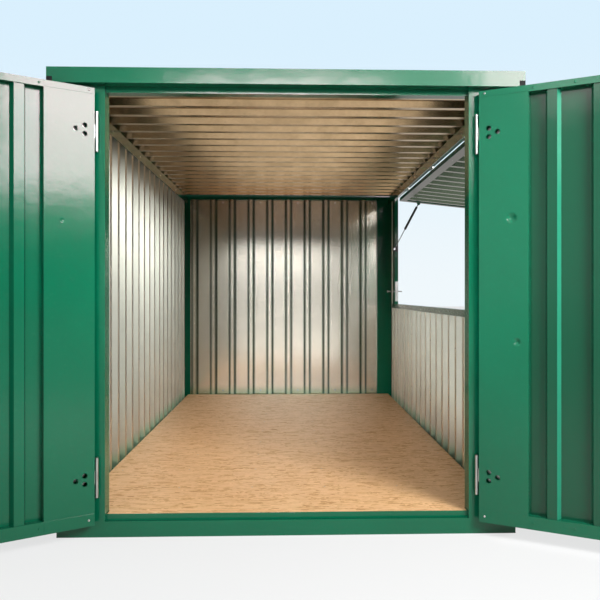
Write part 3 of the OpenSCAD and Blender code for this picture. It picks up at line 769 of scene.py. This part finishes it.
def moved(spots: Iterable[Spot], move: Matrix) -> list[Spot]:
    """Carries spots through a move."""
    return [(move @ place, move.to_3x3() @ aim) for place, aim in spots]


# ---- Making pieces ----


class HeadShape(Enum):
    """How a fastener's head looks."""

    DOME = "dome"
    HEXAGON = "hexagon"


@dataclass(frozen=True)
class Fastener:
    """One kind of fastener, with its head's width and height and its washer's width."""

    shape: HeadShape
    width: float
    height: float
    washer: float = 0.0


RIVET = Fastener(HeadShape.DOME, 0.010, 0.0028)
PAN_SCREW = Fastener(HeadShape.DOME, 0.011, 0.0032)
FLOOR_SCREW = Fastener(HeadShape.DOME, 0.0085, 0.0006)
SHEET_SCREW = Fastener(HeadShape.HEXAGON, 0.008, 0.0045, 0.014)
CORNER_BOLT = Fastener(HeadShape.HEXAGON, 0.013, 0.0065, 0.020)
HINGE_BOLT = Fastener(HeadShape.HEXAGON, 0.017, 0.0085, 0.026)


def settle(piece: bpy.types.Object, body: Body) -> None:
    """Lets a piece ride on its body.

    Args:
        piece: The piece.
        body: Its body.
    """
    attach(piece, body.value)
    LOG.info("%s: %d faces on %s", piece.name, len(piece.data.polygons), body.value)


class Heads:
    """A Geometry Nodes tree that sets a head on every point of a mesh."""

    INPUTS = {"Points": "Geometry", "Width": "Float", "Height": "Float", "Washer": "Float",
              "Hexagon": "Bool", "Finish": "Material"}
    WASHER_DEPTH = 0.0024

    def __init__(self) -> None:
        """Builds the tree and notes its inputs' identifiers."""
        self.tree = bpy.data.node_groups.new("fastener_heads", "GeometryNodeTree")
        face = self.tree.interface
        self.sockets = {
            title: face.new_socket(title, in_out="INPUT",
                                   socket_type="NodeSocket" + kind).identifier
            for title, kind in self.INPUTS.items()}
        face.new_socket("Heads", in_out="OUTPUT", socket_type="NodeSocketGeometry")
        wires = Nodes(self.tree)
        start = wires.add("NodeGroupInput").outputs
        aim = wires.add("GeometryNodeInputNamedAttribute", {"Name": "aim"},
                        data_type="FLOAT_VECTOR").outputs["Attribute"]
        turn = wires.add("FunctionNodeAlignRotationToVector", {"Vector": aim}, axis="Z")
        place = wires.add("GeometryNodeInstanceOnPoints", {
            "Points": start["Points"], "Instance": self._head(wires, start),
            "Rotation": turn.outputs["Rotation"]})
        real = wires.add("GeometryNodeRealizeInstances", {0: place.outputs["Instances"]})
        finish = wires.add("GeometryNodeSetMaterial", {"Geometry": real.outputs[0],
                                                       "Material": start["Finish"]})
        wires.add("NodeGroupOutput", {0: finish.outputs[0]})

    @staticmethod
    def _scaled(wires: Nodes, shape: Node, across: object, up: object,
                lift: object = 0.0) -> Socket:
        """Scales a unit shape across and up, and lifts it."""
        size, rise = (wires.add("ShaderNodeCombineXYZ", values).outputs[0]
                      for values in ({0: across, 1: across, 2: up}, {2: lift}))
        return wires.add("GeometryNodeTransform", {"Geometry": shape.outputs["Mesh"],
                                                   "Scale": size, "Translation": rise}).outputs[0]

    def _head(self, wires: Nodes, start: Outputs) -> Socket:
        """Builds a low dome sunk to its middle, and a six-sided head on a washer.

        Args:
            wires: The tree's wiring helper.
            start: The sockets that come in.

        Returns:
            The socket of the shape that is asked for.
        """
        height = start["Height"]
        half, washer, lift = (wires.math("MULTIPLY", size, 0.5)
                              for size in (start["Width"], start["Washer"], height))
        ball = wires.add("GeometryNodeMeshUVSphere", {"Segments": 10, "Rings": 6, "Radius": 1.0})
        body, flat = (wires.add("GeometryNodeMeshCylinder",
                                {"Vertices": corners, "Radius": 1.0, "Depth": 1.0})
                      for corners in (6, 16))
        both = wires.add("GeometryNodeJoinGeometry",
                         {0: self._scaled(wires, body, half, height, lift)})
        wires.fill(both, {0: self._scaled(wires, flat, washer, self.WASHER_DEPTH)})
        return wires.add("GeometryNodeSwitch", {
            0: start["Hexagon"], 1: self._scaled(wires, ball, half, height),
            2: both.outputs[0]}, input_type="GEOMETRY").outputs[0]

    def set(self, name: str, body: Body, spots: Sequence[Spot], kind: Fastener,
            finish: Material, slot: Slot = Slot.FITTING) -> None:
        """Makes one plain mesh of heads that rides on a body.

        Args:
            name: The piece's name.
            body: The body that it rides on.
            spots: Where the heads sit and look.
            kind: The fastener's kind.
            finish: The heads' material.
            slot: The slot that the material stands for; not used.
        """
        points = bpy.data.meshes.new(name)
        points.from_pydata([place for place, _ in spots], [], [])
        aim = points.attributes.new("aim", "FLOAT_VECTOR", "POINT")
        for item, (_, way) in zip(aim.data, spots):
            item.vector = way
        piece = add_object(name, points)
        nodes = piece.modifiers.new("heads", "NODES")
        nodes.node_group = self.tree
        for title, value in {"Width": kind.width, "Height": kind.height,
                             "Washer": kind.washer or kind.width,
                             "Hexagon": kind.shape is HeadShape.HEXAGON,
                             "Finish": finish}.items():
            nodes[self.sockets[title]] = value
        graph = bpy.context.evaluated_depsgraph_get()
        plain = bpy.data.meshes.new_from_object(piece.evaluated_get(graph))
        piece.modifiers.clear()
        piece.data = plain
        plain.name = name
        if kind.shape is HeadShape.DOME:
            plain.polygons.foreach_set("use_smooth", [True] * len(plain.polygons))
        settle(piece, body)


def finish_piece(name: str, shape: Shape, body: Body, finish: Material,
                 smooth: bool = False) -> None:
    """Turns a shape into a piece that rides on a body.

    Args:
        name: The piece's name.
        shape: Its shape, in place.
        body: The body that it rides on.
        finish: Its material.
        smooth: Whether its faces are shaded smooth.
    """
    bmesh.ops.remove_doubles(shape, verts=shape.verts, dist=1e-6)
    bmesh.ops.recalc_face_normals(shape, faces=shape.faces)
    mesh = bpy.data.meshes.new(name)
    shape.to_mesh(mesh)
    shape.free()
    mesh.polygons.foreach_set("use_smooth", [smooth] * len(mesh.polygons))
    mesh.materials.append(finish)
    settle(add_object(name, mesh), body)


def add_plate(shape: Shape, low: Point, high: Point, move: Matrix,
              round_off: float) -> None:
    """Adds a thin plate with rounded edges to a shape.

    Args:
        shape: The shape that grows.
        low: The plate's lowest corner before the move.
        high: Its highest corner before the move.
        move: Where the plate goes.
        round_off: Radius of its edges.
    """
    middle = [(a + b) / 2 for a, b in zip(low, high)]
    size = [b - a for a, b in zip(low, high)]
    made = bmesh.ops.create_cube(shape, size=1.0)["verts"]
    place = move @ Matrix.Translation(middle) @ Matrix.Diagonal((*size, 1.0))
    bmesh.ops.transform(shape, matrix=place, verts=made)
    edges = {edge for vert in made for edge in vert.link_edges}
    bmesh.ops.bevel(shape, geom=list(edges), offset=round_off, segments=2, profile=0.5,
                    affect="EDGES")


def add_ring(shape: Shape, outline: Sequence[Pair], lift: float,
             place: Matrix) -> None:
    """Adds a closed ring turned round the Z axis.

    Args:
        shape: The shape that grows.
        outline: Radius and height of each corner of the ring's section.
        lift: How far up the Z axis the ring sits.
        place: Where the axis goes.
    """
    rings = []
    for step in range(RING_SIDES):
        angle = math.tau * step / RING_SIDES
        rings.append([shape.verts.new(place @ Vector((
            r * math.cos(angle), r * math.sin(angle), lift + h))) for r, h in outline])
    for step, ring in enumerate(rings):
        after = rings[(step + 1) % RING_SIDES]
        for index in range(len(outline)):
            other = (index + 1) % len(outline)
            shape.faces.new((ring[index], after[index], after[other], ring[other]))


# ---- Sub-assemblies ----


@dataclass
class Shell:
    """Fasteners of the walls, the roof, the floor and the counter."""

    rivet_rows: Row = (0.67, 1.52)
    low_rivet_rows: Row = (0.35, 0.78)
    left_start: float = -1.9
    right_start: float = -1.71
    laps: int = 4
    corner_rows: Row = (0.361, 1.093, 1.824)
    corner_x: float = 1.055
    corner_y: float = 1.945
    corner_lift: float = 0.0002
    fold_x: float = 1.025
    fold_y: float = 1.975
    ledge_x: float = 1.0142
    ledge_z: float = 2.052
    ledge_ys: Row = (-1.11, -0.35, 0.41, 1.17)
    foot_row: float = 0.135
    top_row: float = 2.043
    first_flat: float = -1.805
    back_flat: float = 0.855
    hatch_ends: float = 1.66
    roof_xs: Row = (-0.98, -0.33, 0.33, 0.98)
    board_xs: Series = (-0.95, 0.38, 6)
    board_ys: Series = (-1.52, 0.38, 9)
    counter_ys: Series = (-1.4, 0.4, 8)

    def _laps(self, start: float) -> list[float]:
        """Gives the lines along Y where a side wall's sheets lap."""
        return [start + SHEET_COVER * (step + 1) for step in range(self.laps)]

    def _flats(self) -> list[float]:
        """Gives the middle of every other flat along Y."""
        return row_of(self.first_flat, 2 * RIB_PITCH, 10)

    def wall_rivets(self) -> list[Spot]:
        """Places the rivets on the sheets' laps, seen from inside."""
        return (grid(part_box("left_wall")[1][0], self._laps(self.left_start), self.rivet_rows,
                     ALONG_X)
                + grid((-SHEET_COVER, 0.0, SHEET_COVER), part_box("back_wall")[0][1],
                       self.rivet_rows, AGAINST_Y)
                + grid(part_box("right_wall_below_hatch")[0][0], self._laps(self.right_start),
                       self.low_rivet_rows, AGAINST_X))

    def corner_bolts(self) -> list[Spot]:
        """Places the bolts that hold the walls to the corner posts.

        Returns:
            The bolts' spots.
        """
        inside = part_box("left_wall")[0][0] + self.corner_lift
        rows = self.corner_rows
        spots = grid(inside, self.corner_y, rows, ALONG_X)
        for side, way in ((-1.0, AGAINST_X), (1.0, ALONG_X)):
            spots += grid(side * self.corner_x, (self.corner_y, -self.corner_y), rows, way)
            spots += grid(side * self.fold_x, self.fold_y, rows, ALONG_Y)
        return spots

    def ledge_bolts(self) -> list[Spot]:
        """Places the bolts on the ledges that carry the roof."""
        return (grid(-self.ledge_x, self.ledge_ys, self.ledge_z, ALONG_X)
                + grid(self.ledge_x, self.ledge_ys, self.ledge_z, AGAINST_X))

    def sheet_screws(self) -> list[Spot]:
        """Places the screws in the sheets' flats, seen from outside.

        Returns:
            The screws' spots.
        """
        out, back = -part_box("left_wall")[0][0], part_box("back_wall")[1][1]
        ends = [y for y in self._flats() if abs(y) > self.hatch_ends]
        spots = []
        for row, right in ((self.foot_row, self._flats()), (self.top_row, ends)):
            spots += grid(-out, self._flats(), row, AGAINST_X)
            spots += grid(out, right, row, ALONG_X)
            spots += grid(row_of(self.back_flat, -2 * RIB_PITCH, 5), back, row, ALONG_Y)
        return spots

    def roof_screws(self) -> list[Spot]:
        """Places the sealing screws on top of the roof."""
        return grid(self.roof_xs, self._flats(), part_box("roof_sheets")[1][2], UP)

    def floor_screws(self) -> list[Spot]:
        """Places the countersunk screws along the bearers."""
        return grid(row_of(*self.board_xs), row_of(*self.board_ys),
                    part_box("floor_boards")[1][2], UP)

    def counter_screws(self) -> list[Spot]:
        """Places the screws along the counter rail."""
        low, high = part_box("hatch_counter_rail")
        return grid((low[0] + high[0]) / 2, row_of(*self.counter_ys), high[2], UP)

    def build(self, heads: Heads, metal: Material) -> None:
        """Sets every fastener of the shell; each piece has its method's name.

        Args:
            heads: The tree that makes the heads.
            metal: The heads' material.
        """
        for places, kind in ((self.wall_rivets, RIVET), (self.corner_bolts, CORNER_BOLT),
                             (self.ledge_bolts, PAN_SCREW), (self.sheet_screws, SHEET_SCREW),
                             (self.roof_screws, SHEET_SCREW), (self.floor_screws, FLOOR_SCREW),
                             (self.counter_screws, PAN_SCREW)):
            heads.set(places.__name__, Body.SHELL, places(), kind, metal)


@dataclass
class DoorLeaf:
    """Fasteners and cover strips of one leaf, placed on the closed leaf and then opened.

    Places along the leaf count from its hinge axis. Heights of rows count from the leaf's
    foot or down from its top.
    """

    body: Body
    side: float
    closed_at: float
    axis_x: float = 0.868
    outer: float = -2.020
    inner: float = -1.980
    foot: float = 0.067
    top: float = 2.038
    hinges: Row = (0.278, 1.846)
    bolt_lift: float = 0.003
    bolts: tuple[Pair, ...] = ((0.058, 0.019), (0.058, -0.019), (0.098, 0.0))
    rail_rows: Pair = (0.015, 0.03)
    rail_rivets: Row = (0.255, 0.43, 0.61, 0.79)
    stile: float = 0.843
    stile_rivets: Series = (0.35, 0.44, 4)
    screw: float = 0.04
    screw_lift: float = 0.001
    screw_rows: Pair = (0.013, 0.028)
    strip_ends: Pair = (0.016, 0.234)
    strip_faces: Pair = (-0.0002, 0.0012)
    strip_edge: float = 0.0005
    top_strip: Pair = (0.028, 0.001)
    foot_strip: Pair = (0.001, 0.056)

    def __post_init__(self) -> None:
        """Finds the leaf's name and the move from closed to where it stands."""
        self.name = self.body.value
        self.move = opened(self.name + "_hinge", self.closed_at)

    def _x(self, along: float) -> float:
        """Gives the closed leaf's X at a distance from its hinge axis."""
        return self.side * (self.axis_x - along)

    def _rows(self, rows: Pair) -> Pair:
        """Gives the heights of a row under the top and a row over the foot."""
        return self.top - rows[0], self.foot + rows[1]

    def _spots(self, places: Iterable[Point]) -> list[Spot]:
        """Carries places on the closed leaf to where it stands."""
        return moved(spots_at(places, ALONG_Y), self.move)

    def hinge_bolts(self) -> list[Spot]:
        """Places the hinge's bolts, seen through the access holes."""
        return self._spots((self._x(along), self.outer + self.bolt_lift, z + rise)
                           for z in self.hinges for along, rise in self.bolts)

    def rivets(self) -> list[Spot]:
        """Places the rivets along the rails and up the closing stile."""
        places = [(self._x(along), self.inner, z) for z in self._rows(self.rail_rows)
                  for along in self.rail_rivets]
        return self._spots(places + [(self._x(self.stile), self.inner, z)
                                     for z in row_of(*self.stile_rivets)])

    def edge_screws(self) -> list[Spot]:
        """Places the bright screws near the hinge edge."""
        return self._spots((self._x(self.screw), self.inner + self.screw_lift, z)
                           for z in self._rows(self.screw_rows))

    def cover_strips(self, paint: Material) -> None:
        """Builds the thin strips over the hinge plate's ends.

        Args:
            paint: The strips' material.
        """
        shape = bmesh.new()
        ends = sorted(map(self._x, self.strip_ends))
        faces = [self.inner + lift for lift in self.strip_faces]
        for rows in ([self.top - drop for drop in self.top_strip],
                     [self.foot + rise for rise in self.foot_strip]):
            low, high = zip(ends, faces, rows)
            add_plate(shape, low, high, self.move, self.strip_edge)
        finish_piece(self.name + "_cover_strips", shape, self.body, paint)

    def build(self, heads: Heads, metal: Material, paint: Material) -> None:
        """Sets the leaf's fasteners and strips.

        Args:
            heads: The tree that makes the heads.
            metal: The bolts' and screws' material.
            paint: The rivets' and strips' material.
        """
        heads.set(self.name + "_hinge_bolts", self.body, self.hinge_bolts(), HINGE_BOLT, metal)
        heads.set(self.name + "_rivets", self.body, self.rivets(), RIVET, paint, Slot.PAINT)
        heads.set(self.name + "_screws", self.body, self.edge_screws(), PAN_SCREW, metal)
        self.cover_strips(paint)


@dataclass
class Flap:
    """Rivets of the serving flap, placed on the closed flap and then opened.

    A face is its X, the way that it looks and the heights of its rows.
    """

    faces: tuple[tuple[float, Point, Row], ...] = ((1.019, AGAINST_X, (1.055, 2.0145)),
                                                   (1.052, ALONG_X, (1.055,)))
    rivets: Series = (-1.33, 2 * RIB_PITCH, 8)
    closed_at: float = -84.0

    def build(self, heads: Heads, metal: Material) -> None:
        """Sets the rivets along the flap's long rails, inside and outside.

        Args:
            heads: The tree that makes the heads.
            metal: The heads' material.
        """
        spots = [spot for x, way, rows in self.faces
                 for spot in grid(x, row_of(*self.rivets), rows, way)]
        heads.set("flap_rivets", Body.FLAP, moved(spots, opened("hatch_hinge", self.closed_at)),
                  RIVET, metal)


@dataclass
class Strut:
    """End collar and neck rings of one gas strut.

    A section's corners are radii and heights: the collar's from the tube's mouth, a neck
    ring's from its own middle. The mouth and the rings count from the lower pivot.
    """

    tube: Body
    end: str
    mouth: float = 0.2168
    rings: Pair = (0.4538, 0.4478)
    collar: tuple[Pair, ...] = (
        (0.0046, -0.004), (0.008, -0.004), (0.0104, -0.001), (0.0116, 0.001), (0.0116, 0.011),
        (0.0111, 0.012), (0.0105, 0.012), (0.0105, 0.0004), (0.0046, 0.0004))
    ring: tuple[Pair, ...] = (
        (0.0105, -0.0015), (0.0115, -0.0008), (0.0115, 0.0008), (0.0105, 0.0015))

    def build(self, plastic: Material, metal: Material) -> None:
        """Turns the collar at the tube's mouth and the rings at its neck.

        Args:
            plastic: The collar's material.
            metal: The rings' material.
        """
        axis = Vector(JOINTS[self.end + "_tube_slide"]["axis"])
        place = (Matrix.Translation(JOINTS[self.end + "_rod_pivot"]["pos_m"])
                 @ axis.to_track_quat("Z", "Y").to_matrix().to_4x4())
        for part, section, lifts, finish, slot in (
                ("_collar", self.collar, (self.mouth,), plastic, Slot.PLASTIC),
                ("_neck", self.ring, self.rings, metal, Slot.TUBE)):
            shape = bmesh.new()
            for lift in lifts:
                add_ring(shape, section, lift, place)
            finish_piece(self.tube.value + part, shape, self.tube, finish, True)


# ---- Dressing ----


@dataclass
class Wardrobe:
    """The finishes' materials, each made once."""

    effects: Effects = field(default_factory=Effects)
    made: dict[str, Material] = field(default_factory=dict)

    def get(self, finish: Finish) -> Material:
        """Makes a finish's material, or returns it if it was made before."""
        if finish.name not in self.made:
            self.made[finish.name] = finish.make(self.effects)
        return self.made[finish.name]


GREEN = GreenCoat()
ZINC = Zinc()
SOFT_ZINC = Zinc(roughness=0.27)
# Darker copy of the zinc for the left wall: painted shade.
LEFT_ZINC_PAINTED_SHADE = Zinc(light=(0.68, 0.64, 0.575), dark=(0.60, 0.56, 0.50), roughness=0.31)
# Darker, warm copy of the zinc for the ceiling: painted shade and a painted reflection of the
# floor boards.
ROOF_ZINC_PAINTED_SHADE_REFLECTION = Zinc(light=(0.46, 0.325, 0.19), dark=(0.34, 0.235, 0.13), roughness=0.22,
                 along=(0.06, 1.0, 1.0))
# Nearly black copy of the zinc for the flap's inner side: painted shade.
FLAP_ZINC_PAINTED_SHADE = Zinc(light=(0.115, 0.100, 0.078), dark=(0.090, 0.078, 0.060), roughness=0.24,
                 along=(0.06, 1.0, 0.6))
# Nearly black copy of the zinc for the flap's rails: painted shade.
RAIL_ZINC_PAINTED_SHADE = Zinc(light=(0.060, 0.052, 0.040), dark=(0.045, 0.039, 0.030), roughness=0.3)
FITTING = PlainMetal()
BLACK = PlainMetal("black_plastic", (0.012, 0.012, 0.013), (0.02, 0.02, 0.02), 0.0, 0.45)
STRUT_BLACK = PlainMetal("strut_black", (0.01, 0.01, 0.011), (0.018, 0.018, 0.018), 0.0, 0.28)
RUBBER = PlainMetal("rubber_black", (0.008, 0.008, 0.008), (0.014, 0.014, 0.014), 0.0, 0.7,
                    0.15, Grain(900.0, 2.0, 0.0001, 0.5))
CHROME = PlainMetal("rod_chrome", (0.30, 0.30, 0.31), (0.24, 0.24, 0.25), 1.0, 0.14)
FLAP_OPEN = math.radians(84.0)
FLAP_INWARD = (-math.cos(FLAP_OPEN), 0.0, -math.sin(FLAP_OPEN))
FINISHES = {
    "left_wall": SheetFinish(inward=ALONG_X, zinc=LEFT_ZINC_PAINTED_SHADE),
    "back_wall": SheetFinish(inward=AGAINST_Y, zinc=ZINC, fold=0.75, crease=0.75, across="X"),
    "roof_sheets": SheetFinish(inward=DOWN, zinc=ROOF_ZINC_PAINTED_SHADE_REFLECTION, fold=0.0, crease=0.0),
    "hatch_flap_panel": SheetFinish(inward=FLAP_INWARD, zinc=FLAP_ZINC_PAINTED_SHADE, fold=0.4),
    "floor_boards": StrandBoard(),
    "left_door_hinge_side": GreenCoat("left_plate_coat",
                                      dents=(((-0.992, -2.093, 1.435), 0.012),)),
    "right_door_hinge_side": GreenCoat("right_plate_coat",
                                       dents=(((1.001, -2.089, 1.451), 0.030),
                                              ((1.020, -2.100, 0.896), 0.022))),
    # The right leaf's panel: painted shade on its inward faces and a painted highlight on its
    # flanks.
    "right_door_panel": TwoTone("right_panel_painted_shade_coat", inward=(-0.5, -0.866, 0.0)),
    "floor_bearers": ZINC,
    "roof_end_plugs": RUBBER,
    **dict.fromkeys(("right_wall_front", "right_wall_back", "right_wall_below_hatch"),
                    SheetFinish(inward=AGAINST_X, zinc=SOFT_ZINC)),
    **dict.fromkeys(("hatch_flap_side_rails", "hatch_flap_long_rails"),
                    SheetFinish(inward=FLAP_INWARD, zinc=RAIL_ZINC_PAINTED_SHADE, fold=0.0, crease=0.0)),
    **dict.fromkeys(("post_hinge_knuckles", "left_door_knuckles", "right_door_knuckles",
                     "left_door_bolts", "hatch_flap_hinges", "head_hinge_leaves",
                     "hatch_slide_bolts"), FITTING),
    **dict.fromkeys(("right_door_lock", "strut_brackets"), BLACK),
    **dict.fromkeys(("front_strut_tube", "back_strut_tube"), STRUT_BLACK),
    **dict.fromkeys(("front_strut_rod", "back_strut_rod"), CHROME),
}


def dress_nodes(wardrobe: Wardrobe) -> None:
    """Gives every CAD node its finish, and every ribbed node a material of its own.

    Args:
        wardrobe: The finishes' materials.
    """
    for node, piece in frame["nodes"].items():
        finish = FINISHES.get(node, GREEN)
        if isinstance(finish, SheetFinish):
            finish = replace(finish, name="sheet_" + node)
        piece.data.materials.clear()
        piece.data.materials.append(wardrobe.get(finish))
        LOG.info("%s wears %s", node, finish.name)


def main() -> None:
    """Builds the studio and dresses the kiosk."""
    logging.basicConfig(level=logging.INFO, format="%(name)s: %(message)s")
    Studio().build()
    wardrobe = Wardrobe()
    dress_nodes(wardrobe)
    heads = Heads()
    metal, paint = wardrobe.get(FITTING), wardrobe.get(GREEN)
    Shell().build(heads, metal)
    DoorLeaf(Body.LEFT_DOOR, -1.0, 147.0).build(heads, metal, paint)
    DoorLeaf(Body.RIGHT_DOOR, 1.0, 150.0).build(heads, metal, paint)
    Flap().build(heads, metal)
    for tube, end in ((Body.FRONT_TUBE, "front"), (Body.BACK_TUBE, "back")):
        Strut(tube, end).build(wardrobe.get(BLACK), wardrobe.get(STRUT_BLACK))


if __name__ == "__main__":
    main()
